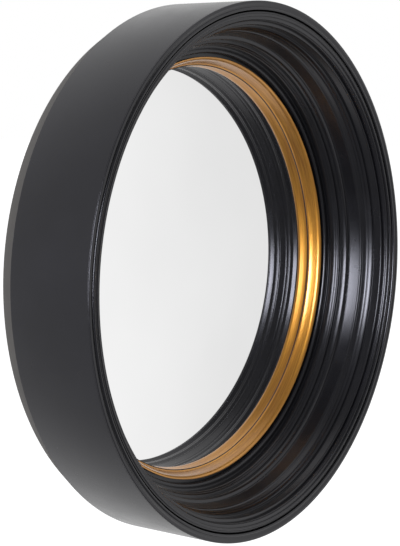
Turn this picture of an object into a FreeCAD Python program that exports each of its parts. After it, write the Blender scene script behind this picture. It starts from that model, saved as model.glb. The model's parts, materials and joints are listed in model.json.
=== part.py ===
import FreeCAD, Part
import os
from math import asin, cos, degrees, sin, sqrt, tau
from FreeCAD import Vector

# Deep round wall mirror: a turned and stepped black frame, a gilt slip and a convex
# mirror plate, hung by two D-rings from a recess in the back.
# Millimetres. The origin is the centre of the wall plane. The mirror faces -Y, +Z is up.
# Sections are drawn in radius and in depth, where depth counts backwards from the
# foremost point of the frame.

# --- Outline of the frame -----------------------------------------------------------
outer_radius = 300.0
hoop_thickness = 12.0          # wall of the side hoop
rear_ring_thickness = 20.0
rear_bevel_inset = 10.5        # how far the bevel brings the back edge in

# --- Front rim: outer bead, quirk, lip, two reeds and a fillet ------------------------
rim_cap_depth = 3.2            # rim in front of the hoop's end
rim_round = 2.8                # quarter round on the outer arris
rim_bead_width = 10.6
rim_bead_shoulder = 1.9        # half of the round on the bead's inner edge
quirk_depth = 1.5
lip_inward = 7.4
lip_deeper = 1.5
lip_swell = 0.7
rim_reed_inward = 2.2
rim_reed_deeper = 2.5
rim_reed_swell = 0.6
rim_reed_count = 2
rim_fillet_inward = 0.8
rim_fillet_deeper = 3.0

# --- Outer moulding: cove and two reeds -----------------------------------------------
cove_inward = 3.8
cove_deeper = 12.0
cove_hollow = 1.5
cove_reed_inward = 1.8
cove_reed_deeper = 3.6
cove_reed_swell = 0.8
cove_reed_count = 2

# --- Middle moulding: hollow, broad band and foot cove --------------------------------
neck_inward = 2.0
neck_deeper = 4.8
neck_hollow = 0.6
band_inward = 2.4
band_deeper = 11.5
band_swell = 0.5
foot_inward = 2.2
foot_deeper = 5.0
foot_hollow = 0.8

# --- Inner moulding: bead, three fine reeds, scotia and nose --------------------------
bead_inward = 5.8
bead_deeper = 5.0
bead_swell = 1.8
fine_reed_inward = 1.0
fine_reed_deeper = 3.3
fine_reed_swell = 0.5
fine_reed_count = 3
scotia_inward = 5.6
scotia_deeper = 8.6
scotia_hollow = 2.2
nose_inward = 3.7
nose_deeper = 2.4
nose_swell = 0.9
nose_underside = 2.6           # from the nose to the back of the inner moulding

# --- Carrier ring, gilt slip and mirror plate -----------------------------------------
slip_reveal = 5.1              # dark channel between the nose and the slip
slip_stand = 2.4               # slip in front of the channel's floor
slip_crest = 0.7               # flat top of the slip
slip_face_inward = 2.5
slip_face_deeper = 8.3
slip_face_swell = 0.7
slip_bead_inward = 5.7
slip_bead_deeper = 5.0
slip_bead_swell = 1.2
slip_edge = 0.2                # thin inner edge of the slip
slip_shoulder = 8.0            # carrier's front to the shoulder that stops the slip
gasket_thickness = 0.4
gasket_inset = 0.8             # gasket back from the slip's inner edge
glass_cover = 10.8             # glass that the slip covers
glass_play = 1.5               # room round the glass in its pocket
glass_thickness = 4.0
dome_radius = 900.0            # radius of curvature of the mirror plate
spacer_edge = 4.5              # thickness of the foam spacer at its outer edge
spacer_width = 14.0

# --- Rear ring and back board ----------------------------------------------------------
clamp_thickness = 8.0
clamp_lap = 19.5              # clamp ring inward of the glass's edge
rear_land = 13.5               # flat ring that meets the wall
board_margin = 14.0            # board's edge to the side of the recess
board_thickness = 4.0

# --- Fits -------------------------------------------------------------------------------
turned_fit = 0.05              # between curved faces of pieces that stay together
hinge_clearance = 0.1          # radial, ring in its eye
seat_gap = 0.3                 # ring at rest to the board it leans on

# --- Screws -----------------------------------------------------------------------------
screw_slot_width = 1.1
screw_slot_depth = 1.0
screw_tip = 4.0                # length of the pointed end
pilot_extra = 0.6              # pilot hole beyond the tip

carrier_screw_count = 8
carrier_screw_bite = 19.0      # length in the inner moulding
carrier_screw_shank = 2.2
carrier_screw_head = 4.4
carrier_screw_sink = 0.5       # head below the surface

clamp_screw_count = 8
clamp_screw_bite = 18.0         # length in the carrier ring
clamp_screw_shank = 2.0
clamp_screw_head = 4.0
clamp_screw_sink = 0.3

board_screw_count = 12
board_screw_edge = 7.0         # screw to the board's edge
board_screw_margin = 1.5       # clamp ring left in front of the tip
board_screw_shank = 1.7
board_screw_head = 3.6
board_screw_head_height = 2.2

hanger_screw_margin = 1.2      # clamp ring left in front of the tip
hanger_screw_shank = 1.6
hanger_screw_head = 3.4
hanger_screw_head_height = 2.0

# --- Hangers ----------------------------------------------------------------------------
hanger_spacing = 300.0         # between the two rings
hanger_edge = 6.0              # lower screw to the clamp ring's inner edge
strap_width = 12.0
strap_length = 32.0            # hinge line to the strap's lower end
strap_thickness = 1.2
strap_screw_first = 9.0        # hinge line to the upper screw
strap_screw_second = 25.0      # hinge line to the lower screw
ring_wire_radius = 1.25
ring_width = 17.0              # between the wire's centre lines
ring_side = 8.0                # hinge line to the start of the bow
ring_corner = 2.6


class Section:
    """Closed half-section of a turned piece, drawn in radius and depth."""

    def __init__(self, radius, depth):
        self.start = Vector(radius, depth, 0)
        self.here = self.start
        self.edges = []

    def line(self, radius, depth):
        there = Vector(radius, depth, 0)
        self.edges.append(Part.LineSegment(self.here, there).toShape())
        self.here = there

    def arc(self, radius, depth, swell):
        """Arc that swells by this much to the left of its direction of travel, out of the wood."""
        there = Vector(radius, depth, 0)
        run = there.sub(self.here)
        aside = Vector(-run.y, run.x, 0).normalize()
        middle = self.here.add(there).multiply(1 / 2).add(aside.multiply(swell))
        self.edges.append(Part.Arc(self.here, middle, there).toShape())
        self.here = there

    def dome(self, radius, centre_depth, dome):
        """Arc to this radius on a sphere that is centred behind the frame."""
        middle = (self.here.x + radius) / 2
        there = Vector(radius, dome_depth(radius, centre_depth, dome), 0)
        through = Vector(middle, dome_depth(middle, centre_depth, dome), 0)
        self.edges.append(Part.Arc(self.here, through, there).toShape())
        self.here = there

    def turned(self):
        """Solid made by turning the section round the mirror's axis."""
        self.line(self.start.x, self.start.y)
        face = Part.Face(Part.Wire(self.edges))
        face.translate(Vector(0, -total_depth, 0))
        return face.revolve(Vector(0, 0, 0), Vector(0, 1, 0), 360)


def dome_depth(radius, centre_depth, dome):
    return centre_depth - sqrt(dome ** 2 - radius ** 2)


def y_at(depth):
    return depth - total_depth


# --- Places that follow from the sizes ---------------------------------------------------
stack_radius = outer_radius - hoop_thickness - turned_fit

quirk_radius = outer_radius - rim_bead_width
lip_radius = quirk_radius - lip_inward
lip_depth = quirk_depth + lip_deeper
rim_reed_radius = lip_radius - rim_reed_inward * rim_reed_count
rim_reed_depth = lip_depth + rim_reed_deeper * rim_reed_count
rim_back_radius = rim_reed_radius - rim_fillet_inward
rim_back_depth = rim_reed_depth + rim_fillet_deeper

cove_radius = rim_back_radius - cove_inward
cove_depth = rim_back_depth + cove_deeper
outer_back_radius = cove_radius - cove_reed_inward * cove_reed_count
outer_back_depth = cove_depth + cove_reed_deeper * cove_reed_count

neck_radius = outer_back_radius - neck_inward
neck_depth = outer_back_depth + neck_deeper
band_radius = neck_radius - band_inward
band_depth = neck_depth + band_deeper
middle_back_radius = band_radius - foot_inward
middle_back_depth = band_depth + foot_deeper

bead_radius = middle_back_radius - bead_inward
bead_depth = middle_back_depth + bead_deeper
fine_reed_radius = bead_radius - fine_reed_inward * fine_reed_count
fine_reed_depth = bead_depth + fine_reed_deeper * fine_reed_count
scotia_radius = fine_reed_radius - scotia_inward
scotia_depth = fine_reed_depth + scotia_deeper
nose_radius = scotia_radius - nose_inward
nose_depth = scotia_depth + nose_deeper

carrier_front = nose_depth + nose_underside
shoulder_depth = carrier_front + slip_shoulder
slip_outer_radius = nose_radius - slip_reveal
slip_front = carrier_front - slip_stand
slip_groove_radius = slip_outer_radius - slip_crest - slip_face_inward
slip_groove_depth = slip_front + slip_face_deeper
slip_inner_radius = slip_groove_radius - slip_bead_inward
slip_inner_depth = slip_groove_depth + slip_bead_deeper

glass_radius = slip_inner_radius + glass_cover
pocket_radius = glass_radius + glass_play
glass_contact_depth = slip_inner_depth + slip_edge + gasket_thickness + 2 * turned_fit
dome_centre = glass_contact_depth + sqrt(dome_radius ** 2 - slip_inner_radius ** 2)
dome_back = dome_radius - glass_thickness
slip_dome = dome_radius + gasket_thickness + 2 * turned_fit

clamp_inner_radius = glass_radius - clamp_lap
recess_radius = outer_radius - rear_bevel_inset - rear_land
board_radius = recess_radius - board_margin

ring_front = dome_depth(glass_radius, dome_centre, dome_back) + spacer_edge
total_depth = ring_front + rear_ring_thickness
clamp_back = ring_front + clamp_thickness
board_back = clamp_back + board_thickness

carrier_screw_circle = (pocket_radius + stack_radius) / 2
carrier_screw_length = ring_front - carrier_front - carrier_screw_sink + carrier_screw_bite
clamp_screw_circle = (board_radius + recess_radius) / 2
clamp_screw_length = clamp_thickness - clamp_screw_sink + clamp_screw_bite
board_screw_circle = board_radius - board_screw_edge
board_screw_length = board_thickness + clamp_thickness - board_screw_margin
hanger_screw_length = strap_thickness + board_thickness + clamp_thickness - hanger_screw_margin

lower_screw_radius = clamp_inner_radius + hanger_edge
lower_screw_height = sqrt(lower_screw_radius ** 2 - (hanger_spacing / 2) ** 2)
hanger_height = lower_screw_height + strap_screw_second

eye_radius = ring_wire_radius + hinge_clearance
hinge_y = y_at(board_back) + eye_radius + strap_thickness
strap_face_y = y_at(board_back) + strap_thickness
ring_reach = ring_side + ring_width / 2
ring_lean = degrees(asin((eye_radius + strap_thickness - ring_wire_radius - seat_gap) / ring_reach))


# --- Turned pieces of the frame ------------------------------------------------------------
def reeds(section, count, inward, deeper, swell):
    """Run of equal reeds, each a small arc."""
    for _ in range(count):
        section.arc(section.here.x - inward, section.here.y + deeper, swell)


def front_rim():
    """Ring that caps the hoop and carries the first mouldings."""
    round_middle = rim_round * (1 - sqrt(1 / 2))
    section = Section(outer_radius, rim_cap_depth)
    section.line(outer_radius, rim_round)
    start = section.here
    crest = Vector(outer_radius - rim_round, 0, 0)
    through = Vector(outer_radius - round_middle, round_middle, 0)
    section.edges.append(Part.Arc(start, through, crest).toShape())
    section.here = crest
    section.line(quirk_radius + rim_bead_shoulder, 0)
    section.arc(quirk_radius, quirk_depth, rim_bead_shoulder / 4)
    section.arc(lip_radius, lip_depth, lip_swell)
    reeds(section, rim_reed_count, rim_reed_inward, rim_reed_deeper, rim_reed_swell)
    section.line(rim_back_radius, rim_back_depth)
    section.line(stack_radius, rim_back_depth)
    section.line(stack_radius, rim_cap_depth)
    return section.turned()


def side_hoop():
    """Plain outer wall of the frame."""
    section = Section(outer_radius, rim_cap_depth)
    section.line(outer_radius - hoop_thickness, rim_cap_depth)
    section.line(outer_radius - hoop_thickness, ring_front)
    section.line(outer_radius, ring_front)
    return section.turned()


def outer_moulding():
    """Ring with a cove and two reeds."""
    section = Section(rim_back_radius, rim_back_depth)
    section.arc(cove_radius, cove_depth, -cove_hollow)
    reeds(section, cove_reed_count, cove_reed_inward, cove_reed_deeper, cove_reed_swell)
    section.line(stack_radius, outer_back_depth)
    section.line(stack_radius, rim_back_depth)
    return section.turned()


def middle_moulding():
    """Ring with the broad band between two hollows."""
    section = Section(outer_back_radius, outer_back_depth)
    section.arc(neck_radius, neck_depth, -neck_hollow)
    section.arc(band_radius, band_depth, band_swell)
    section.arc(middle_back_radius, middle_back_depth, -foot_hollow)
    section.line(stack_radius, middle_back_depth)
    section.line(stack_radius, outer_back_depth)
    return section.turned()


def inner_moulding():
    """Ring with the bead, the fine reeds, the scotia and the nose."""
    section = Section(middle_back_radius, middle_back_depth)
    section.arc(bead_radius, bead_depth, bead_swell)
    reeds(section, fine_reed_count, fine_reed_inward, fine_reed_deeper, fine_reed_swell)
    section.arc(scotia_radius, scotia_depth, -scotia_hollow)
    section.arc(nose_radius, nose_depth, nose_swell)
    section.line(nose_radius + nose_inward / 2, carrier_front)
    section.line(stack_radius, carrier_front)
    section.line(stack_radius, middle_back_depth)
    return section.turned().cut(pilots("carrier"))


def carrier_ring():
    """Ring behind the mouldings, with the shoulder and pocket for slip and glass."""
    bore = slip_outer_radius + turned_fit
    section = Section(bore, carrier_front)
    section.line(bore, shoulder_depth)
    section.line(pocket_radius, shoulder_depth)
    section.line(pocket_radius, ring_front)
    section.line(stack_radius, ring_front)
    section.line(stack_radius, carrier_front)
    return section.turned().cut(pilots("carrier")).cut(pilots("clamp"))


def gold_slip():
    """Gilt ring that frames the glass: a steep face, a bead and a hidden flange."""
    flange = pocket_radius - turned_fit
    section = Section(slip_outer_radius, slip_front)
    section.line(slip_outer_radius - slip_crest, slip_front)
    section.arc(slip_groove_radius, slip_groove_depth, slip_face_swell)
    section.arc(slip_inner_radius, slip_inner_depth, slip_bead_swell)
    section.line(slip_inner_radius, dome_depth(slip_inner_radius, dome_centre, slip_dome))
    section.dome(flange, dome_centre, slip_dome)
    section.line(flange, shoulder_depth)
    section.line(slip_outer_radius, shoulder_depth)
    return section.turned()


def bowed_ring(inner, outer, front_dome, back_dome):
    """Ring between two domes that share the mirror plate's centre."""
    section = Section(inner, dome_depth(inner, dome_centre, front_dome))
    section.dome(outer, dome_centre, front_dome)
    section.line(outer, dome_depth(outer, dome_centre, back_dome))
    section.dome(inner, dome_centre, back_dome)
    return section.turned()


def glass_gasket():
    """Thin felt between the slip and the glass."""
    front = dome_radius + gasket_thickness + turned_fit
    return bowed_ring(slip_inner_radius + gasket_inset, glass_radius, front, dome_radius + turned_fit)


def mirror_glass():
    """Convex mirror plate, domed towards the room."""
    section = Section(0, dome_centre - dome_radius)
    section.dome(glass_radius, dome_centre, dome_radius)
    section.line(glass_radius, dome_depth(glass_radius, dome_centre, dome_back))
    section.dome(0, dome_centre, dome_back)
    return section.turned()


def glass_spacer():
    """Foam strip that the clamp ring presses against the back of the glass."""
    inner = glass_radius - spacer_width
    soft_dome = dome_back - turned_fit
    section = Section(inner, dome_depth(inner, dome_centre, soft_dome))
    section.dome(glass_radius, dome_centre, soft_dome)
    section.line(glass_radius, ring_front)
    section.line(inner, ring_front)
    return section.turned()


def rear_ring():
    """Bevelled ring at the wall."""
    section = Section(recess_radius, ring_front)
    section.line(recess_radius, total_depth)
    section.line(outer_radius - rear_bevel_inset, total_depth)
    section.line(outer_radius, ring_front)
    return section.turned()


def clamp_ring():
    """Flat ring in the recess that clamps the glass and carries the back board."""
    outer = recess_radius - turned_fit
    section = Section(clamp_inner_radius, ring_front)
    section.line(clamp_inner_radius, clamp_back)
    section.line(outer, clamp_back)
    section.line(outer, ring_front)
    return section.turned().cut(pilots("clamp")).cut(pilots("board")).cut(pilots("hanger"))


def back_board():
    """Thin board that closes the back, set in the recess."""
    section = Section(0, clamp_back)
    section.line(board_radius, clamp_back)
    section.line(board_radius, board_back)
    section.line(0, board_back)
    return section.turned().cut(pilots("board")).cut(pilots("hanger"))


# --- Screws ---------------------------------------------------------------------------------
def turned_rod(points):
    """Solid turned round the Y axis from points of radius and y."""
    corners = [Vector(radius, y, 0) for radius, y in points]
    wire = Part.makePolygon(corners + corners[:1])
    return Part.Face(wire).revolve(Vector(0, 0, 0), Vector(0, 1, 0), 360)


def driver_slots(head):
    """Crossed slots for the driver, cut in from y = 0."""
    slots = [Part.makeBox(head * 1.3, 2 * screw_slot_depth, screw_slot_width),
             Part.makeBox(screw_slot_width, 2 * screw_slot_depth, head * 1.3)]
    for slot in slots:
        middle = slot.BoundBox.Center
        slot.translate(Vector(-middle.x, -middle.y, -middle.z))
    return slots[0].fuse(slots[1])


def sunk_screw(length, shank, head):
    """Countersunk screw, its face at y = 0, pointing towards -Y."""
    cone = head - shank
    body = turned_rod([(0, 0), (head, 0), (shank, -cone), (shank, screw_tip - length), (0, -length)])
    return body.cut(driver_slots(head))


def pan_screw(length, shank, head, height):
    """Low round-headed screw, bearing at y = 0, pointing towards -Y."""
    shoulder = height / 2
    edge = Part.LineSegment(Vector(0, -length, 0), Vector(0, height, 0)).toShape()
    crown_middle = Vector(head * 3 / 5, height * 22 / 25, 0)
    crown = Part.Arc(Vector(0, height, 0), crown_middle, Vector(head, shoulder, 0)).toShape()
    points = [(head, shoulder), (head, 0), (shank, 0), (shank, screw_tip - length), (0, -length)]
    sides = Part.makePolygon([Vector(radius, y, 0) for radius, y in points]).Edges
    face = Part.Face(Part.Wire([edge, crown] + sides))
    body = face.revolve(Vector(0, 0, 0), Vector(0, 1, 0), 360)
    slots = driver_slots(head)
    slots.translate(Vector(0, height, 0))
    return body.cut(slots)


def sunk_hole(length, shank, head, sink):
    """Room for a countersunk screw, from the surface down."""
    mouth = head + turned_fit
    bore = shank + turned_fit
    end = -sink - length - pilot_extra
    return turned_rod([(0, 1), (mouth, 1), (mouth, -sink), (bore, -sink - mouth + bore), (bore, end), (0, end)])


def plain_hole(length, shank):
    """Room for a shank, from above the surface down."""
    bore = shank + turned_fit
    end = -length - pilot_extra
    return turned_rod([(0, 1), (bore, 1), (bore, end), (0, end)])


def on_circle(count, radius, first):
    """Places at equal steps round the axis, first counted in steps."""
    turns = [tau * (index + first) / count for index in range(count)]
    return [(radius * cos(turn), radius * sin(turn)) for turn in turns]


def hanger_screw_places():
    """Two screws under each ring."""
    sides = (-hanger_spacing / 2, hanger_spacing / 2)
    drops = (strap_screw_first, strap_screw_second)
    return [(x, hanger_height - drop) for x in sides for drop in drops]


def placed(shape, places, y):
    """One copy of a shape at each place, its own origin at height y."""
    copies = []
    for x, z in places:
        copy = shape.copy()
        copy.translate(Vector(x, y, z))
        copies.append(copy)
    return copies


def screw_sets():
    """Screw, hole, places and seat of each set of screws."""
    return {
        "carrier": (
            sunk_screw(carrier_screw_length, carrier_screw_shank, carrier_screw_head),
            sunk_hole(carrier_screw_length, carrier_screw_shank, carrier_screw_head, carrier_screw_sink),
            on_circle(carrier_screw_count, carrier_screw_circle, 0),
            y_at(ring_front), carrier_screw_sink),
        "clamp": (
            sunk_screw(clamp_screw_length, clamp_screw_shank, clamp_screw_head),
            sunk_hole(clamp_screw_length, clamp_screw_shank, clamp_screw_head, clamp_screw_sink),
            on_circle(clamp_screw_count, clamp_screw_circle, 1 / 2),
            y_at(clamp_back), clamp_screw_sink),
        "board": (
            pan_screw(board_screw_length, board_screw_shank, board_screw_head, board_screw_head_height),
            plain_hole(board_screw_length, board_screw_shank),
            on_circle(board_screw_count, board_screw_circle, 1 / 2),
            y_at(board_back), 0),
        "hanger": (
            pan_screw(hanger_screw_length, hanger_screw_shank, hanger_screw_head, hanger_screw_head_height),
            plain_hole(hanger_screw_length, hanger_screw_shank),
            hanger_screw_places(),
            strap_face_y, 0),
    }


def screws(name):
    screw, hole, places, seat, sink = SCREWS[name]
    return placed(screw, places, seat - sink)


def pilots(name):
    screw, hole, places, seat, sink = SCREWS[name]
    return placed(hole, places, seat)


# --- Hangers ---------------------------------------------------------------------------------
def hanger_strap(x):
    """Plate with a rolled eye at its top and a rounded lower end."""
    half = strap_width / 2
    back = y_at(board_back)
    plate = Part.makeBox(strap_width, strap_thickness, strap_length - half)
    plate.translate(Vector(x - half, back, hanger_height - strap_length + half))
    end_place = Vector(x, back, hanger_height - strap_length + half)
    end = Part.makeCylinder(half, strap_thickness, end_place, Vector(0, 1, 0))
    eye_place = Vector(x - half, hinge_y, hanger_height)
    eye = Part.makeCylinder(eye_radius + strap_thickness, strap_width, eye_place, Vector(1, 0, 0))
    bore = Part.makeCylinder(eye_radius, strap_width, eye_place, Vector(1, 0, 0))
    return plate.fuse([end, eye]).cut(bore).removeSplitter().cut(pilots("hanger"))


def straight_wire(start, end):
    return Part.makeCylinder(ring_wire_radius, end.sub(start).Length, start, end.sub(start))


def bent_wire(start, centre, turn):
    """Wire that starts here and bends about a centre, in the plane of X and Z."""
    radial = start.sub(centre)
    along = radial.cross(Vector(0, 1, 0))
    disc = Part.Face(Part.Wire(Part.makeCircle(ring_wire_radius, start, along)))
    return disc.revolve(centre, Vector(0, 1, 0), turn)


def hanger_ring(x):
    """D-shaped wire ring, its straight bar in the eye, leaning on the board."""
    half = ring_width / 2
    inner = half - ring_corner
    quarter = 90
    pieces = [
        straight_wire(Vector(-inner, 0, 0), Vector(inner, 0, 0)),
        bent_wire(Vector(inner, 0, 0), Vector(inner, 0, ring_corner), -quarter),
        straight_wire(Vector(half, 0, ring_corner), Vector(half, 0, ring_side)),
        bent_wire(Vector(half, 0, ring_side), Vector(0, 0, ring_side), -2 * quarter),
        straight_wire(Vector(-half, 0, ring_side), Vector(-half, 0, ring_corner)),
        bent_wire(Vector(-half, 0, ring_corner), Vector(-inner, 0, ring_corner), -quarter),
    ]
    ring = pieces[0].fuse(pieces[1:]).removeSplitter()
    ring.rotate(Vector(0, 0, 0), Vector(1, 0, 0), ring_lean)
    ring.translate(Vector(x, hinge_y, hanger_height))
    return ring


# --- Build -----------------------------------------------------------------------------------
SCREWS = screw_sets()

NODES = {
    "front_rim": front_rim(),
    "side_hoop": side_hoop(),
    "outer_moulding": outer_moulding(),
    "middle_moulding": middle_moulding(),
    "inner_moulding": inner_moulding(),
    "carrier_ring": carrier_ring(),
    "carrier_screws": Part.makeCompound(screws("carrier")),
    "gold_slip": gold_slip(),
    "glass_gasket": glass_gasket(),
    "mirror_glass": mirror_glass(),
    "glass_spacer": glass_spacer(),
    "rear_ring": rear_ring(),
    "clamp_ring": clamp_ring(),
    "clamp_screws": Part.makeCompound(screws("clamp")),
    "back_board": back_board(),
    "back_board_screws": Part.makeCompound(screws("board")),
}
for side, x in (("left", -hanger_spacing / 2), ("right", hanger_spacing / 2)):
    own_screws = [screw for screw in screws("hanger") if screw.BoundBox.Center.x * x > 0]
    NODES["hanger_strap_" + side] = hanger_strap(x)
    NODES["hanger_ring_" + side] = hanger_ring(x)
    NODES["hanger_screws_" + side] = Part.makeCompound(own_screws)

os.makedirs("parts", exist_ok=True)
for name, shape in NODES.items():
    shape.exportStep("parts/" + name + ".step")
    box = shape.BoundBox
    print(name, len(shape.Solids), "solids", shape.isValid(), round(shape.Volume),
          [round(value, 2) for value in (box.XMin, box.YMin, box.ZMin, box.XMax, box.YMax, box.ZMax)])
print("total depth", round(total_depth, 3), "glass radius", round(glass_radius, 2),
      "hinge", round(hinge_y, 3), round(hanger_height, 3), "lean", round(ring_lean, 3))
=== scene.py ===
import json
import math
from collections import namedtuple

import bmesh
import bpy
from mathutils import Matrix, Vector


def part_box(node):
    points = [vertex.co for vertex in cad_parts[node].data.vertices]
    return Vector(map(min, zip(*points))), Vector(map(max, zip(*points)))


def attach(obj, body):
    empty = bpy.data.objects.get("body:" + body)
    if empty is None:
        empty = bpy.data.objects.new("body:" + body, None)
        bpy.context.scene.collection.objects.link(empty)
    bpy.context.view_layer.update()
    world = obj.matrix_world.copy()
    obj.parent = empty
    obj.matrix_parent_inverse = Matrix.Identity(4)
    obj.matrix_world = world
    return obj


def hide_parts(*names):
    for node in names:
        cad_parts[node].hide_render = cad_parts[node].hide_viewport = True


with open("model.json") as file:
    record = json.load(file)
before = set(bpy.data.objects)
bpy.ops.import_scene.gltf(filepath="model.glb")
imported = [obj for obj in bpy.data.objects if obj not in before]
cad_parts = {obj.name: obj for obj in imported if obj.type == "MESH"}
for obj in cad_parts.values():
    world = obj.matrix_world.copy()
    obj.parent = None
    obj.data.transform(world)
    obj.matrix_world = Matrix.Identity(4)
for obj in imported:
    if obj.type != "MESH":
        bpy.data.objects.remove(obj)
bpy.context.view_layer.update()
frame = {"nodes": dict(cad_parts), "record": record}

bl_info = {
    "name": "Deep Convex Mirror",
    "version": (1, 0, 0),
    "blender": (4, 5, 0),
    "location": "View3D > Sidebar > Mirror",
    "description": "Dresses a deep round convex mirror: lacquered mouldings, gilt slip and domed glass",
    "category": "Object",
}

MM = 0.001
AXIS_GAP = 1e-6                # mm: a point nearer to the axis than this lies on it
REPEAT_GAP = 1e-4              # mm: points nearer than this are one
FLAT_SWELL = 1e-6              # mm: an arc that swells less than this is a line


# --- Places taken from the frame -------------------------------------------------------
def outer_radius_of(node):
    """Radius of a turned node, from its box."""
    low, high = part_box(node)
    return max(high.x, high.z)


FRONT_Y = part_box("front_rim")[0].y           # foremost plane of the frame
BACK_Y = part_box("rear_ring")[1].y            # the wall plane
RING_FRONT_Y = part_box("rear_ring")[0].y      # joint between side hoop and rear ring
FRAME_RADIUS = outer_radius_of("side_hoop")
STACK_RADIUS = outer_radius_of("middle_moulding")
GLASS_RADIUS = outer_radius_of("mirror_glass")
POCKET_RADIUS = outer_radius_of("gold_slip")
GLASS_APEX_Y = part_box("mirror_glass")[0].y

# --- Mouldings, in millimetres: each run goes inward and deeper, and swells or hollows ---
QUARTER_SWELL = 1 - math.sqrt(1 / 2)         # swell of a quarter round of radius 1
RIM_CAP = 1.6                                # front rim in front of the hoop's end
RIM_ROUND = 0.8                              # quarter round on the outer arris
RIM_LAND = (2.4, 0.0, 0.0)
RIM_HOLLOW = (3.5, 1.3, -0.2)
RIM_BEAD = (3.0, -0.9, 0.8)
RIM_SIDE = (0.65, 1.5, 0.1)
QUIRK = (3.1, 0.3, -0.15)
LIP = (3.4, 1.4, 1.45)
LIP_SEAT = (2.9, 0.0, -0.1)
RIM_REED = (1.0, 1.65, 0.2)
RIM_WALL = (0.0, 2.6, 0.0)
RIM_SEAT = (3.1, 0.0, 0.0)
RIM_BROW = (0.8, 1.9, 0.33)
COVE_WALL = (0.0, 9.2, 0.0)
COVE_FOOT = (2.3, 0.05, -0.1)
BROAD_REED = (1.9, 4.5, 0.22)
SLIM_REED = (1.4, 2.9, 0.15)
NECK = (0.0, 5.3, 0.0)
ASTRAGAL = (1.9, 2.2, 0.3)
BAND_WALL = (0.0, 1.2, 0.0)
BAND = (3.6, 11.7, -0.08)
FOOT = (0.2, 2.6, 0.0)
BEAD_SEAT = (3.1, 1.2, -0.1)
BEAD = (1.2, 3.1, 0.04)
BEAD_WALL = (0.0, 4.45, 0.0)
FINE_SEAT = (2.4, 0.0, 0.0)
FINE_REED = (0.7, 0.9, 0.12)
FINE_BEAD = (1.4, 2.6, 0.2)
FINE_BROW = (1.5, 3.9, 0.35)
SCOTIA_WALL = (0.0, 6.5, 0.0)
SCOTIA_SEAT = (3.7, 0.0, -0.2)
NOSE_CROWN = (2.8, 0.2, 0.12)
NOSE = (1.55, 2.6, 0.25)
NOSE_WALL = (0.0, 0.9, 0.0)
NOSE_UNDERSIDE = 2.6                         # nose to the back of the inner moulding
NOSE_LIP = 0.775                             # how far the nose hangs over its underside
SLIP_REVEAL = 4.0                            # dark channel between the nose and the slip
SLIP_STAND = 3.0                             # slip in front of the channel's floor
SLIP_CREST = 1.4                             # flat top of the slip
SLIP_ROLL = (2.9, 4.6, 0.62)
SLIP_WALL = (0.9, 4.4, 0.0)
SLIP_HOLLOW = (1.6, 4.7, -0.12)
SLIP_TOE = (1.7, 0.8, -0.05)
SLIP_SHOULDER = 8.0                          # carrier's front to the slip's flange
SLIP_OFF_GLASS = 0.5                         # room for the felt between slip and glass
DOME_RADIUS = 900.0                          # radius of curvature of the mirror plate
DOME_STEP = 4.0                              # steps of radius on a dome
GLASS_THICKNESS = 4.0
REAR_BEVEL_INSET = 10.5                      # how far the bevel brings the back edge in
REAR_LAND = 13.5                             # flat ring that meets the wall

# --- Stage: soft box and floor in metres, and the room as the mirror shows it ---------------
SENSOR_WIDTH = 36                            # mm
SOFT_BOX_SIZE = (1.0, 1.3)
SOFT_BOX_COLOUR = "#F2F5FF"
FLOOR_HALF = 30
FLOOR_LIFT = 0.6                             # glow that only the camera sees
BESIDE = (0.1, 0.42)                         # the sweep begins this far to the right, as a share
BEHIND = (-0.05, 0.4)                        # and this far back
FAR_RIGHT = (0.4, 1.0)                       # it dims over this stretch to the right
FAR_LEFT = (-0.7, 0.1)                       # and over this one to the left


# --- Sizes and colours that a user would change ------------------------------------------
class MirrorFinish(bpy.types.PropertyGroup):
    """Sizes of the finish and the colours of the frame."""

    lacquer_build: bpy.props.FloatProperty(
        name="Lacquer build", description="Radius that the sprayed lacquer gives to each arris",
        default=0.35 * MM, min=0.05 * MM, max=1.0 * MM, unit="LENGTH")
    arc_step: bpy.props.FloatProperty(
        name="Arc step", description="Longest step along a moulded curve",
        default=0.45 * MM, min=0.1 * MM, max=3.0 * MM, unit="LENGTH")
    turns: bpy.props.IntProperty(
        name="Steps round", description="Steps round the mirror's axis",
        default=360, min=64, max=1024)
    lacquer: bpy.props.StringProperty(
        name="Lacquer", description="Satin black of the mouldings, sRGB hex", default="#08080A")
    # The back edge's grey is a painted reflection of the pale room.
    back_edge_grey: bpy.props.StringProperty(
        name="Primer", description="Grey of the bevelled back edge, sRGB hex", default="#34312E")
    gilt: bpy.props.StringProperty(
        name="Gilt", description="Bright tone of the gilt slip, sRGB hex", default="#DEA03A")
    gilt_deep: bpy.props.StringProperty(
        name="Deep gilt", description="Worn tone of the gilt slip, sRGB hex", default="#A0641E")
    silver: bpy.props.StringProperty(
        name="Silver", description="Tone of the silvered glass, sRGB hex", default="#F3F3F3")
    hardboard: bpy.props.StringProperty(
        name="Hardboard", description="Brown of the back board, sRGB hex", default="#6B4A2E")
    fibreboard: bpy.props.StringProperty(
        name="Fibreboard", description="Bare fibreboard of the clamp ring, sRGB hex", default="#B08D64")


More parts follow.
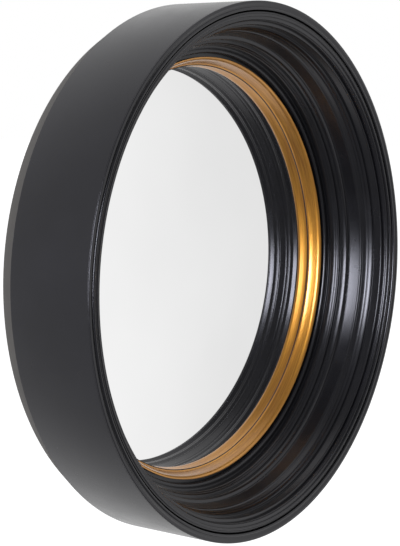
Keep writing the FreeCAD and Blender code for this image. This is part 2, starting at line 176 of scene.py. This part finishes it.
class MirrorStudio(bpy.types.PropertyGroup):
    """Camera, lamps and floor."""

    lens: bpy.props.FloatProperty(
        name="Lens", description="Focal length on a 36 mm frame",
        default=100.4, min=10, max=400, unit="CAMERA")
    camera_place: bpy.props.FloatVectorProperty(
        name="Camera", description="Place of the camera",
        default=(-1.3938, -1.0677, 0.2056), subtype="XYZ")
    camera_turn: bpy.props.FloatVectorProperty(
        name="Camera turn", description="Rotation of the camera",
        default=(math.radians(83.0803), math.radians(0.282), math.radians(-53.4385)), subtype="EULER")
    key_power: bpy.props.FloatProperty(
        name="Key power", description="Power of the soft box",
        default=100.0, min=0, max=500, unit="POWER")
    key_azimuth: bpy.props.FloatProperty(
        name="Key azimuth", description="Direction of the soft box, from the front towards -X",
        default=math.radians(-78), unit="ROTATION")
    key_elevation: bpy.props.FloatProperty(
        name="Key elevation", description="Height of the soft box",
        default=math.radians(11.5), unit="ROTATION")
    key_distance: bpy.props.FloatProperty(
        name="Key distance", description="Distance of the soft box",
        default=2.4, min=0.5, max=10, unit="LENGTH")
    ambient: bpy.props.FloatProperty(
        name="Ambient", description="Light of the room", default=0.65, min=0, max=2)
    dark: bpy.props.FloatProperty(
        name="Dark side", description="Brightness of the room in front, to the left",
        default=0.36, min=0, max=1)
    far_side: bpy.props.FloatProperty(
        name="Far side", description="Brightness of the sweep at the far right",
        default=0.86, min=0, max=1)
    near_side: bpy.props.FloatProperty(
        name="Near side", description="Brightness of the sweep at the far left",
        default=0.78, min=0, max=1)
    floor_height: bpy.props.FloatProperty(
        name="Floor", description="Height of the floor, from the mirror's centre",
        default=-1.2, unit="LENGTH")


def finish():
    return bpy.context.scene.mirror_finish


def studio():
    return bpy.context.scene.mirror_studio


# --- Sections and turning ---------------------------------------------------------------
class Section:
    """Closed half-section of a turned piece, in millimetres of radius and depth from the front."""

    def __init__(self, radius, depth):
        self.points = [Vector((radius, depth))]

    @property
    def here(self):
        return self.points[-1]

    def line(self, radius, depth):
        self.points.append(Vector((radius, depth)))
        return self

    def run(self, inward, deeper, swell):
        """Arc that goes inward and deeper, and swells out of the wood."""
        end = self.here + Vector((-inward, deeper))
        self.points += arc_between(self.here, end, swell)
        return self

    def runs(self, runs):
        for run in runs:
            self.run(*run)
        return self

    def dome(self, radius, centre_depth, sphere):
        """Arc to this radius on a sphere centred behind the frame."""
        start = self.here.x
        steps = max(2, math.ceil(abs(radius - start) / DOME_STEP))
        for step in range(1, steps + 1):
            there = start + (radius - start) * step / steps
            self.points.append(Vector((there, dome_depth(there, centre_depth, sphere))))
        return self


def dome_depth(radius, centre_depth, sphere):
    return centre_depth - math.sqrt(sphere ** 2 - radius ** 2)


def arc_between(start, end, swell):
    """Points after the start of an arc, its middle this far to the left of the chord."""
    chord = end - start
    if abs(swell) < FLAT_SWELL:
        return [end]
    half = chord.length / 2
    radius = (half ** 2 + swell ** 2) / (2 * abs(swell))
    side = Vector((-chord.y, chord.x)).normalized() * math.copysign(1, swell)
    centre = (start + end) / 2 - side * (radius - abs(swell))
    sweep = 2 * math.asin(min(1, half / radius)) * -math.copysign(1, swell)
    step_length = finish().arc_step / MM
    steps = max(4, math.ceil(abs(sweep) * radius / step_length))
    spoke = start - centre
    return [centre + turned(spoke, sweep * step / steps) for step in range(1, steps)] + [end]


def turned(vector, angle):
    cosine, sine = math.cos(angle), math.sin(angle)
    return Vector((vector.x * cosine - vector.y * sine, vector.x * sine + vector.y * cosine))


def softened(points, radius, corner=math.radians(20), steps=4):
    """Closed line with each sharp corner eased, as lacquer eases an arris."""
    eased = []
    for before, point, after in zip(points[-1:] + points[:-1], points, points[1:] + points[:1]):
        into = point - before
        out = after - point
        if point.x < AXIS_GAP or abs(into.angle_signed(out, 0)) < corner:
            eased.append(point)
            continue
        first = point - into.normalized() * min(radius, into.length * 0.45)
        last = point + out.normalized() * min(radius, out.length * 0.45)
        for step in range(steps + 1):
            share = step / steps
            eased.append(first.lerp(point, share).lerp(point.lerp(last, share), share))
    return eased


def without_repeats(points):
    kept = []
    for point in points:
        if not kept or (point - kept[-1]).length > REPEAT_GAP:
            kept.append(point)
    if (kept[0] - kept[-1]).length < REPEAT_GAP:
        kept.pop()
    return kept


def turn(name, section):
    """Smooth mesh made by turning a section round the mirror's axis, placed from the front plane."""
    points = without_repeats(softened(without_repeats(section.points), finish().lacquer_build / MM))
    turns = finish().turns
    angles = [math.tau * step / turns for step in range(turns)]
    shape = bmesh.new()
    rings = []
    for point in points:
        y = FRONT_Y + point.y * MM
        radius = point.x * MM
        if point.x < AXIS_GAP:
            rings.append([shape.verts.new((0, y, 0))])
        else:
            rings.append([shape.verts.new((radius * math.cos(angle), y, radius * math.sin(angle)))
                          for angle in angles])
    for first, second in zip(rings, rings[1:] + rings[:1]):
        join_rings(shape, first, second, turns)
    bmesh.ops.recalc_face_normals(shape, faces=shape.faces)
    mesh = bpy.data.meshes.new(name)
    shape.to_mesh(mesh)
    shape.free()
    mesh.shade_smooth()
    piece = bpy.data.objects.new(name, mesh)
    bpy.context.scene.collection.objects.link(piece)
    return piece


def join_rings(shape, first, second, turns):
    """Faces between two rings of points; a ring on the axis is one point."""
    if len(first) == 1 and len(second) == 1:
        return
    for step in range(turns):
        after = (step + 1) % turns
        corners = [first[step % len(first)], first[after % len(first)],
                   second[after % len(second)], second[step % len(second)]]
        shape.faces.new(list(dict.fromkeys(corners)))


def dress(piece, node, slot):
    """The piece stands for a turned node, rides on the frame and takes its slot's finish."""
    piece.data.materials.append(material_of(slot))
    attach(piece, "frame")
    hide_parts(node)


def dress_node(node, slot):
    """A CAD node that stays as it is and takes a finish."""
    piece = frame["nodes"][node]
    piece.data.materials.clear()
    piece.data.materials.append(material_of(slot))


# --- Materials ---------------------------------------------------------------------------
def linear(hex_colour):
    """Linear colour of an sRGB hex value."""
    parts = [int(hex_colour[start:start + 2], 16) / 255 for start in (1, 3, 5)]
    return (*[part / 12.92 if part <= 0.04045 else ((part + 0.055) / 1.055) ** 2.4 for part in parts], 1)


def scaled(colour, factor):
    """The colour made darker or lighter."""
    return (*[value * factor for value in colour[:3]], 1)


def grey(value):
    return (value, value, value, 1)


def per_mm(size):
    """Texture scale that gives features of this many millimetres."""
    return 1 / (size * MM)


def add(tree, kind, inputs=None, stops=(), **settings):
    """Adds a node with its settings; an input is a value or another node's socket.

    The stops are the places and linear colours of a colour ramp.
    """
    node = tree.nodes.new(kind)
    for name, value in settings.items():
        setattr(node, name, value)
    for name, value in (inputs or {}).items():
        if isinstance(value, bpy.types.NodeSocket):
            tree.links.new(value, node.inputs[name])
        else:
            node.inputs[name].default_value = value
    for index, (place, colour) in enumerate(stops):
        elements = node.color_ramp.elements
        element = elements[index] if index < len(elements) else elements.new(place)
        element.position = place
        element.color = colour
    return node


def new_material(name):
    """Material with its tree, its surface shader and the place on the piece that patterns follow."""
    material = bpy.data.materials.new(name)
    material.use_nodes = True
    tree = material.node_tree
    place = add(tree, "ShaderNodeTexCoord").outputs["Object"]
    return material, tree, tree.nodes["Principled BSDF"], place


def dress_shader(tree, shader, linked, **values):
    """Links patterns to the shader's sockets and sets the even values on the others."""
    for name, socket in linked.items():
        tree.links.new(socket, shader.inputs[name])
    for name, value in values.items():
        shader.inputs[name.replace("_", " ")].default_value = value


def turned_coordinates(tree, place, along, across):
    """Coordinates of a turned piece: features long round the axis and fine across it."""
    split = add(tree, "ShaderNodeSeparateXYZ", {0: place})
    flat = add(tree, "ShaderNodeCombineXYZ", {"X": split.outputs["X"], "Z": split.outputs["Z"]})
    radius = add(tree, "ShaderNodeVectorMath", {0: flat.outputs[0]}, operation="LENGTH")
    spoke = add(tree, "ShaderNodeVectorMath", {0: flat.outputs[0]}, operation="NORMALIZE")
    rounds = add(tree, "ShaderNodeVectorMath", {0: spoke.outputs[0], "Scale": FRAME_RADIUS * per_mm(along)},
                 operation="SCALE")
    depth = add(tree, "ShaderNodeMath", {0: split.outputs["Y"], 1: per_mm(across)}, operation="MULTIPLY")
    width = add(tree, "ShaderNodeMath", {0: radius.outputs["Value"], 1: per_mm(across)},
                operation="MULTIPLY")
    cross = add(tree, "ShaderNodeCombineXYZ",
                {"X": width.outputs[0], "Y": depth.outputs[0], "Z": width.outputs[0]})
    both = add(tree, "ShaderNodeVectorMath", {0: rounds.outputs[0], 1: cross.outputs[0]}, operation="ADD")
    return both.outputs[0]


def satin_lacquer():
    """Satin black lacquer sprayed on turned fibreboard: deep black, soft even gloss."""
    material, tree, shader, place = new_material("satin_black_lacquer_sprayed")
    # Slow drift of tone where the coats are thicker or thinner.
    drift = add(tree, "ShaderNodeTexNoise", {"Vector": place, "Scale": per_mm(70), "Detail": 3})
    base = linear(finish().lacquer)
    tone = add(tree, "ShaderNodeValToRGB", {"Fac": drift.outputs["Fac"]},
               stops=[(0.35, base), (0.75, scaled(base, 1.6))])
    # Rubbed patches break up the gloss.
    rubbed = add(tree, "ShaderNodeTexNoise",
                 {"Vector": place, "Scale": per_mm(28), "Detail": 5, "Roughness": 0.6})
    gloss = add(tree, "ShaderNodeValToRGB", {"Fac": rubbed.outputs["Fac"]},
                stops=[(0.3, grey(0.23)), (0.72, grey(0.28))])
    # Orange peel of a sprayed coat, about 2 mm across.
    peel = add(tree, "ShaderNodeTexNoise", {"Vector": place, "Scale": per_mm(2.2), "Detail": 2})
    bump = add(tree, "ShaderNodeBump",
               {"Height": peel.outputs["Fac"], "Strength": 0.035, "Distance": 0.05 * MM})
    linked = {"Base Color": tone.outputs[0], "Roughness": gloss.outputs[0], "Normal": bump.outputs[0]}
    dress_shader(tree, shader, linked, IOR=1.47, Specular_Tint=(0.95, 0.94, 1.0, 1))
    return material


def grey_primer():
    """Grey of the bevelled back edge, a painted reflection of the pale room on it: dull, with a fine tooth
    and thin places.
    """
    material, tree, shader, place = new_material("back_edge_grey_painted_reflection")
    patches = add(tree, "ShaderNodeTexNoise", {"Vector": place, "Scale": per_mm(35), "Detail": 6})
    base = linear(finish().back_edge_grey)
    tone = add(tree, "ShaderNodeValToRGB", {"Fac": patches.outputs["Fac"]},
               stops=[(0.3, scaled(base, 0.78)), (0.7, base)])
    tooth = add(tree, "ShaderNodeTexNoise", {"Vector": place, "Scale": per_mm(0.9), "Detail": 3})
    bump = add(tree, "ShaderNodeBump",
               {"Height": tooth.outputs["Fac"], "Strength": 0.25, "Distance": 0.08 * MM})
    linked = {"Base Color": tone.outputs[0], "Normal": bump.outputs[0]}
    dress_shader(tree, shader, linked, Roughness=0.62, Specular_IOR_Level=0.35)
    return material


def brushed_gilt():
    """Gilt on turned wood, brushed round as it spun: warm metal with fine long streaks."""
    material, tree, shader, place = new_material("brushed_gilt_on_wood")
    streaks = add(tree, "ShaderNodeTexNoise",
                  {"Vector": turned_coordinates(tree, place, 55, 0.7), "Scale": 1.0, "Detail": 4,
                   "Roughness": 0.65})
    tone = add(tree, "ShaderNodeValToRGB", {"Fac": streaks.outputs["Fac"]},
               stops=[(0.3, linear(finish().gilt_deep)), (0.7, linear(finish().gilt))])
    gloss = add(tree, "ShaderNodeValToRGB", {"Fac": streaks.outputs["Fac"]},
                stops=[(0.3, grey(0.46)), (0.7, grey(0.38))])
    bump = add(tree, "ShaderNodeBump",
               {"Height": streaks.outputs["Fac"], "Strength": 0.06, "Distance": 0.04 * MM})
    linked = {"Base Color": tone.outputs[0], "Roughness": gloss.outputs[0], "Normal": bump.outputs[0]}
    # Clear varnish over the gilt gives the pale core of each highlight.
    dress_shader(tree, shader, linked, Metallic=1.0, Coat_Weight=1.0, Coat_Roughness=0.22)
    return material


def silvered_glass():
    """Polished plate glass, silvered behind: a clear mirror."""
    material, tree, shader, place = new_material("silvered_plate_glass")
    # Faint clouding of the silver, far too weak to blur what it shows.
    cloud = add(tree, "ShaderNodeTexNoise", {"Vector": place, "Scale": per_mm(180), "Detail": 2})
    base = linear(finish().silver)
    tone = add(tree, "ShaderNodeValToRGB", {"Fac": cloud.outputs["Fac"]},
               stops=[(0.35, scaled(base, 0.965)), (0.65, base)])
    dress_shader(tree, shader, {"Base Color": tone.outputs[0]}, Metallic=1.0, Roughness=0.0)
    return material


def bare_fibreboard(name, colour, fibre_mm, roughness):
    """Pressed wood fibre, cut or smooth: short flecks on an even brown."""
    material, tree, shader, place = new_material(name)
    fibres = add(tree, "ShaderNodeTexNoise",
                 {"Vector": place, "Scale": per_mm(fibre_mm), "Detail": 8, "Roughness": 0.7})
    patches = add(tree, "ShaderNodeTexNoise", {"Vector": place, "Scale": per_mm(60), "Detail": 2})
    base = linear(colour)
    fleck = add(tree, "ShaderNodeValToRGB", {"Fac": fibres.outputs["Fac"]},
                stops=[(0.32, scaled(base, 0.62)), (0.6, base)])
    shade = add(tree, "ShaderNodeValToRGB", {"Fac": patches.outputs["Fac"]},
                stops=[(0.3, grey(0.86)), (0.7, grey(1.0))])
    tone = add(tree, "ShaderNodeMix", {"Factor": 1.0, 6: fleck.outputs[0], 7: shade.outputs[0]},
               data_type="RGBA", blend_type="MULTIPLY")
    bump = add(tree, "ShaderNodeBump",
               {"Height": fibres.outputs["Fac"], "Strength": 0.2, "Distance": 0.06 * MM})
    linked = {"Base Color": tone.outputs[2], "Normal": bump.outputs[0]}
    dress_shader(tree, shader, linked, Roughness=roughness)
    return material


def plated_steel(name, colour, roughness, grain_mm):
    """Thin plating on stamped steel: bright, with dull spots."""
    material, tree, shader, place = new_material(name)
    spots = add(tree, "ShaderNodeTexNoise", {"Vector": place, "Scale": per_mm(grain_mm), "Detail": 5})
    base = linear(colour)
    tone = add(tree, "ShaderNodeValToRGB", {"Fac": spots.outputs["Fac"]},
               stops=[(0.3, scaled(base, 0.7)), (0.6, base)])
    gloss = add(tree, "ShaderNodeValToRGB", {"Fac": spots.outputs["Fac"]},
                stops=[(0.3, grey(roughness * 1.5)), (0.65, grey(roughness))])
    linked = {"Base Color": tone.outputs[0], "Roughness": gloss.outputs[0]}
    dress_shader(tree, shader, linked, Metallic=1.0)
    return material


def black_felt():
    """Thin pressed felt: flat black with a short nap."""
    material, tree, shader, place = new_material("black_felt_pressed")
    nap = add(tree, "ShaderNodeTexNoise", {"Vector": place, "Scale": per_mm(0.6), "Detail": 4})
    tone = add(tree, "ShaderNodeValToRGB", {"Fac": nap.outputs["Fac"]},
               stops=[(0.3, linear("#08080A")), (0.7, linear("#1A1A1C"))])
    dress_shader(tree, shader, {"Base Color": tone.outputs[0]}, Roughness=0.95, Sheen_Weight=0.2)
    return material


def cell_foam():
    """Closed-cell foam strip: charcoal with small round cells."""
    material, tree, shader, place = new_material("closed_cell_foam")
    cells = add(tree, "ShaderNodeTexVoronoi", {"Vector": place, "Scale": per_mm(0.8)})
    tone = add(tree, "ShaderNodeValToRGB", {"Fac": cells.outputs["Distance"]},
               stops=[(0.1, linear("#1B1B1B")), (0.7, linear("#3A3A3A"))])
    bump = add(tree, "ShaderNodeBump",
               {"Height": cells.outputs["Distance"], "Strength": 0.4, "Distance": 0.1 * MM})
    linked = {"Base Color": tone.outputs[0], "Normal": bump.outputs[0]}
    dress_shader(tree, shader, linked, Roughness=0.9)
    return material


MAKERS = {
    "black_lacquer": satin_lacquer,
    # The grey_primer slot paints the back edge's reflection of the pale room in grey.
    "grey_primer": grey_primer,
    "gilt": brushed_gilt,
    "mirror_plate": silvered_glass,
    "felt": black_felt,
    "foam": cell_foam,
    "bare_board": lambda: bare_fibreboard("fibreboard_cut", finish().fibreboard, 1.6, 0.8),
    "hardboard": lambda: bare_fibreboard("hardboard_smooth_face", finish().hardboard, 2.4, 0.5),
    "zinc_screw": lambda: plated_steel("zinc_plated_steel", "#C9C8C0", 0.3, 2.0),
    "hanger_steel": lambda: plated_steel("nickel_plated_steel", "#CFCAC0", 0.2, 5.0),
}
made = {}


def material_of(slot):
    """The slot's material, made once."""
    if slot not in made:
        made[slot] = MAKERS[slot]()
    return made[slot]


# --- Operators: one for each piece or group of like pieces ---------------------------------
Stretch = namedtuple("Stretch", "start end runs")


def visible_face():
    """Runs of each lacquered ring, from the front to the glass, with its first and last place."""
    groups = {
        "front_rim": [RIM_LAND, RIM_HOLLOW, RIM_BEAD, RIM_SIDE, QUIRK, LIP, LIP_SEAT,
                      RIM_REED, RIM_REED, RIM_WALL],
        "outer_moulding": [RIM_SEAT, RIM_BROW, COVE_WALL, COVE_FOOT, BROAD_REED, SLIM_REED],
        "middle_moulding": [NECK, ASTRAGAL, BAND_WALL, BAND, FOOT],
        "inner_moulding": [BEAD_SEAT, BEAD, BEAD_WALL, FINE_SEAT, FINE_REED, FINE_BEAD, FINE_BROW,
                           SCOTIA_WALL, SCOTIA_SEAT, NOSE_CROWN, NOSE, NOSE_WALL],
    }
    stretches = {}
    place = Vector((FRAME_RADIUS / MM - RIM_ROUND, 0))
    for name, runs in groups.items():
        end = place + Vector((-sum(run[0] for run in runs), sum(run[1] for run in runs)))
        stretches[name] = Stretch(place, end, runs)
        place = end
    return stretches


class MIRROR_OT_mouldings(bpy.types.Operator):
    """Turn the four lacquered mouldings, from the front rim to the nose"""

    bl_idname = "mirror.mouldings"
    bl_label = "Turn mouldings"

    def execute(self, context):
        stack = STACK_RADIUS / MM
        outer = FRAME_RADIUS / MM
        face = visible_face()
        start, end, runs = face["front_rim"]
        rim = Section(outer, RIM_CAP).line(outer, RIM_ROUND)
        rim.points += arc_between(rim.here, start, RIM_ROUND * QUARTER_SWELL)
        rim.runs(runs).line(stack, end.y).line(stack, RIM_CAP)
        dress(turn("lacquered_front_rim", rim), "front_rim", "black_lacquer")
        for name in ("outer_moulding", "middle_moulding"):
            start, end, runs = face[name]
            ring = Section(*start).runs(runs).line(stack, end.y).line(stack, start.y)
            dress(turn("lacquered_" + name, ring), name, "black_lacquer")
        start, end, runs = face["inner_moulding"]
        back = end.y + NOSE_UNDERSIDE
        ring = Section(*start).runs(runs).line(end.x + NOSE_LIP, back)
        ring.line(stack, back).line(stack, start.y)
        dress(turn("lacquered_inner_moulding", ring), "inner_moulding", "black_lacquer")
        return {"FINISHED"}


class MIRROR_OT_hoop(bpy.types.Operator):
    """Turn the plain side hoop"""

    bl_idname = "mirror.hoop"
    bl_label = "Turn side hoop"

    def execute(self, context):
        outer = FRAME_RADIUS / MM
        inner = STACK_RADIUS / MM
        back = (RING_FRONT_Y - FRONT_Y) / MM
        section = Section(outer, RIM_CAP).line(inner, RIM_CAP).line(inner, back).line(outer, back)
        dress(turn("lacquered_side_hoop", section), "side_hoop", "black_lacquer")
        return {"FINISHED"}


class MIRROR_OT_rear_ring(bpy.types.Operator):
    """Turn the bevelled rear ring"""

    bl_idname = "mirror.rear_ring"
    bl_label = "Turn rear ring"

    def execute(self, context):
        outer = FRAME_RADIUS / MM
        front = (RING_FRONT_Y - FRONT_Y) / MM
        back = (BACK_Y - FRONT_Y) / MM
        edge = outer - REAR_BEVEL_INSET
        bore = edge - REAR_LAND
        section = Section(bore, front).line(bore, back).line(edge, back).line(outer, front)
        # The grey finish is a painted reflection of the pale room on the bevel.
        dress(turn("grey_bevelled_rear_ring", section), "rear_ring", "grey_primer")
        return {"FINISHED"}


class MIRROR_OT_slip(bpy.types.Operator):
    """Turn the gilt slip"""

    bl_idname = "mirror.slip"
    bl_label = "Turn gilt slip"

    def execute(self, context):
        nose = visible_face()["inner_moulding"].end
        carrier = nose.y + NOSE_UNDERSIDE
        front = carrier - SLIP_STAND
        shoulder = carrier + SLIP_SHOULDER
        radius = nose.x - SLIP_REVEAL
        flange = POCKET_RADIUS / MM
        centre = (GLASS_APEX_Y - FRONT_Y) / MM + DOME_RADIUS
        sphere = DOME_RADIUS + SLIP_OFF_GLASS
        section = Section(radius, front).line(radius - SLIP_CREST, front)
        section.runs([SLIP_ROLL, SLIP_WALL, SLIP_HOLLOW, SLIP_TOE])
        section.line(section.here.x, dome_depth(section.here.x, centre, sphere))
        section.dome(flange, centre, sphere).line(flange, shoulder).line(radius, shoulder)
        dress(turn("gilded_slip", section), "gold_slip", "gilt")
        return {"FINISHED"}


class MIRROR_OT_glass(bpy.types.Operator):
    """Turn the domed mirror plate"""

    bl_idname = "mirror.glass"
    bl_label = "Turn mirror plate"

    def execute(self, context):
        apex = (GLASS_APEX_Y - FRONT_Y) / MM
        centre = apex + DOME_RADIUS
        inner = DOME_RADIUS - GLASS_THICKNESS
        edge = GLASS_RADIUS / MM
        section = Section(0, apex).dome(edge, centre, DOME_RADIUS)
        section.line(edge, dome_depth(edge, centre, inner)).dome(0, centre, inner)
        dress(turn("silvered_dome", section), "mirror_glass", "mirror_plate")
        return {"FINISHED"}


class MIRROR_OT_backing(bpy.types.Operator):
    """Finish the rings, board and screws behind the glass"""

    bl_idname = "mirror.backing"
    bl_label = "Finish backing"

    def execute(self, context):
        for row in frame["record"]["subparts"]:
            replaced = frame["nodes"][row["node"]].hide_render
            if not replaced and not row["node"].startswith("hanger"):
                dress_node(row["node"], row["material_slot"])
        # The carrier's front is blacked, because it shows in the channel beside the slip.
        dress_node("carrier_ring", "black_lacquer")
        return {"FINISHED"}


class MIRROR_OT_hangers(bpy.types.Operator):
    """Finish the straps, D-rings and their screws"""

    bl_idname = "mirror.hangers"
    bl_label = "Finish hangers"

    def execute(self, context):
        for row in frame["record"]["subparts"]:
            if row["node"].startswith("hanger"):
                dress_node(row["node"], row["material_slot"])
        return {"FINISHED"}


class MIRROR_OT_stage(bpy.types.Operator):
    """Set the pale floor, the soft light and the camera"""

    bl_idname = "mirror.stage"
    bl_label = "Set stage"

    def execute(self, context):
        set_world()
        set_floor()
        set_lamps()
        set_camera()
        context.scene.view_settings.view_transform = "Standard"
        return {"FINISHED"}


# --- Stage ----------------------------------------------------------------------------------
def seen_in_mirror(tree):
    """1 for rays that a mirror or clear glass sends on."""
    path = add(tree, "ShaderNodeLightPath")
    return add(tree, "ShaderNodeMath",
               {0: path.outputs["Is Glossy Ray"], 1: path.outputs["Is Transmission Ray"]},
               operation="MAXIMUM").outputs[0]


def seen_by_camera(tree):
    return add(tree, "ShaderNodeLightPath").outputs["Is Camera Ray"]


def room_brightness(tree, way):
    """White sweep behind the mirror and to its right, and a darker room in front of it to the left."""
    split = add(tree, "ShaderNodeSeparateXYZ", {0: way})
    values = studio()
    level = {}
    for name, axis, (start, end), low, high in (
            ("beside", "X", BESIDE, 0, 1),
            ("behind", "Y", BEHIND, 0, 1),
            ("far_side", "X", FAR_RIGHT, 1, values.far_side),
            ("near_side", "X", FAR_LEFT, values.near_side, 1)):
        inputs = {"Value": split.outputs[axis], "From Min": start, "From Max": end,
                  "To Min": low, "To Max": high}
        level[name] = add(tree, "ShaderNodeMapRange", inputs, interpolation_type="SMOOTHSTEP").outputs[0]
    pale = add(tree, "ShaderNodeMath", {0: level["beside"], 1: level["behind"]}, operation="MAXIMUM")
    sweep = add(tree, "ShaderNodeMapRange",
                {"Value": pale.outputs[0], "To Min": values.dark, "To Max": 1})
    right = add(tree, "ShaderNodeMath", {0: sweep.outputs[0], 1: level["far_side"]}, operation="MULTIPLY")
    both = add(tree, "ShaderNodeMath", {0: right.outputs[0], 1: level["near_side"]}, operation="MULTIPLY")
    return both.outputs[0]


def set_world():
    """Pale room: white to the camera, even light on the object, and the sweep in its reflections."""
    world = bpy.data.worlds.new("pale_room")
    bpy.context.scene.world = world
    world.use_nodes = True
    tree = world.node_tree
    room = tree.nodes["Background"]
    room.inputs["Color"].default_value = grey(1)
    way = add(tree, "ShaderNodeTexCoord").outputs["Generated"]
    reflected = add(tree, "ShaderNodeMix",
                    {"Factor": seen_in_mirror(tree), 2: studio().ambient, 3: room_brightness(tree, way)})
    strength = add(tree, "ShaderNodeMix", {"Factor": seen_by_camera(tree), 2: reflected.outputs[0], 3: 1})
    tree.links.new(strength.outputs[0], room.inputs["Strength"])


def set_floor():
    """Pale painted floor that fades into the room, and shows as the room does in reflections."""
    material, tree, shader, place = new_material("pale_floor_paint")
    mottle = add(tree, "ShaderNodeTexNoise", {"Vector": place, "Scale": per_mm(400), "Detail": 3})
    tone = add(tree, "ShaderNodeValToRGB", {"Fac": mottle.outputs["Fac"]},
               stops=[(0.3, grey(0.74)), (0.7, grey(0.78))])
    lift = add(tree, "ShaderNodeMath", {0: seen_by_camera(tree), 1: FLOOR_LIFT}, operation="MULTIPLY")
    linked = {"Base Color": tone.outputs[0], "Emission Strength": lift.outputs[0]}
    dress_shader(tree, shader, linked, Roughness=0.85, Emission_Color=grey(1))
    # The way from the mirror, which stands over the middle of the floor.
    way = add(tree, "ShaderNodeVectorMath", {0: place}, operation="NORMALIZE")
    reflected = add(tree, "ShaderNodeEmission", {"Strength": room_brightness(tree, way.outputs[0])})
    both = add(tree, "ShaderNodeMixShader",
               {0: seen_in_mirror(tree), 1: shader.outputs[0], 2: reflected.outputs[0]})
    tree.links.new(both.outputs[0], tree.nodes["Material Output"].inputs["Surface"])

    shape = bmesh.new()
    corners = [shape.verts.new((x, y, studio().floor_height)) for x, y in
               ((-FLOOR_HALF, -FLOOR_HALF), (FLOOR_HALF, -FLOOR_HALF),
                (FLOOR_HALF, FLOOR_HALF), (-FLOOR_HALF, FLOOR_HALF))]
    shape.faces.new(corners)
    mesh = bpy.data.meshes.new("floor")
    shape.to_mesh(mesh)
    shape.free()
    mesh.materials.append(material)
    floor = bpy.data.objects.new("floor", mesh)
    bpy.context.scene.collection.objects.link(floor)


def towards(azimuth, elevation, distance):
    """Place at this direction and distance from the middle of the frame's front."""
    flat = math.cos(elevation)
    way = Vector((math.sin(azimuth) * flat, -math.cos(azimuth) * flat, math.sin(elevation)))
    return Vector((0, FRONT_Y, 0)) + way * distance


def set_lamps():
    """One large soft box at the left, aimed at the frame's front."""
    values = studio()
    lamp = bpy.data.lights.new("key_soft_box", "AREA")
    lamp.shape = "RECTANGLE"
    lamp.size, lamp.size_y = SOFT_BOX_SIZE
    lamp.energy = values.key_power
    lamp.color = linear(SOFT_BOX_COLOUR)[:3]
    holder = bpy.data.objects.new("key_soft_box", lamp)
    bpy.context.scene.collection.objects.link(holder)
    holder.location = towards(values.key_azimuth, values.key_elevation, values.key_distance)
    aim = Vector((0, FRONT_Y, 0)) - holder.location
    holder.rotation_euler = aim.to_track_quat("-Z", "Y").to_euler()


def set_camera():
    values = studio()
    lens = bpy.data.cameras.new("photo_camera")
    lens.lens = values.lens
    lens.sensor_width = SENSOR_WIDTH
    camera = bpy.data.objects.new("photo_camera", lens)
    bpy.context.scene.collection.objects.link(camera)
    camera.location = values.camera_place
    camera.rotation_euler = values.camera_turn
    bpy.context.scene.camera = camera


# --- Panel and registration -------------------------------------------------------------------
class MIRROR_PT_panel(bpy.types.Panel):
    """Lists the mirror's pieces and its sizes"""

    bl_label = "Deep Convex Mirror"
    bl_idname = "MIRROR_PT_panel"
    bl_space_type = "VIEW_3D"
    bl_region_type = "UI"
    bl_category = "Mirror"

    def draw(self, context):
        for group in (finish(), studio()):
            box = self.layout.box()
            for name in group.__annotations__:
                box.prop(group, name)
        for operator in OPERATORS:
            self.layout.operator(operator.bl_idname)


OPERATORS = (
    MIRROR_OT_mouldings,
    MIRROR_OT_hoop,
    MIRROR_OT_rear_ring,
    MIRROR_OT_slip,
    MIRROR_OT_glass,
    MIRROR_OT_backing,
    MIRROR_OT_hangers,
    MIRROR_OT_stage,
)
CLASSES = (MirrorFinish, MirrorStudio) + OPERATORS + (MIRROR_PT_panel,)


def register():
    for kind in CLASSES:
        bpy.utils.register_class(kind)
    bpy.types.Scene.mirror_finish = bpy.props.PointerProperty(type=MirrorFinish)
    bpy.types.Scene.mirror_studio = bpy.props.PointerProperty(type=MirrorStudio)


def unregister():
    del bpy.types.Scene.mirror_studio
    del bpy.types.Scene.mirror_finish
    for kind in reversed(CLASSES):
        bpy.utils.unregister_class(kind)


def main():
    register()
    bpy.ops.mirror.mouldings()
    bpy.ops.mirror.hoop()
    bpy.ops.mirror.rear_ring()
    bpy.ops.mirror.slip()
    bpy.ops.mirror.glass()
    bpy.ops.mirror.backing()
    bpy.ops.mirror.hangers()
    bpy.ops.mirror.stage()


if __name__ == "__main__":
    main()
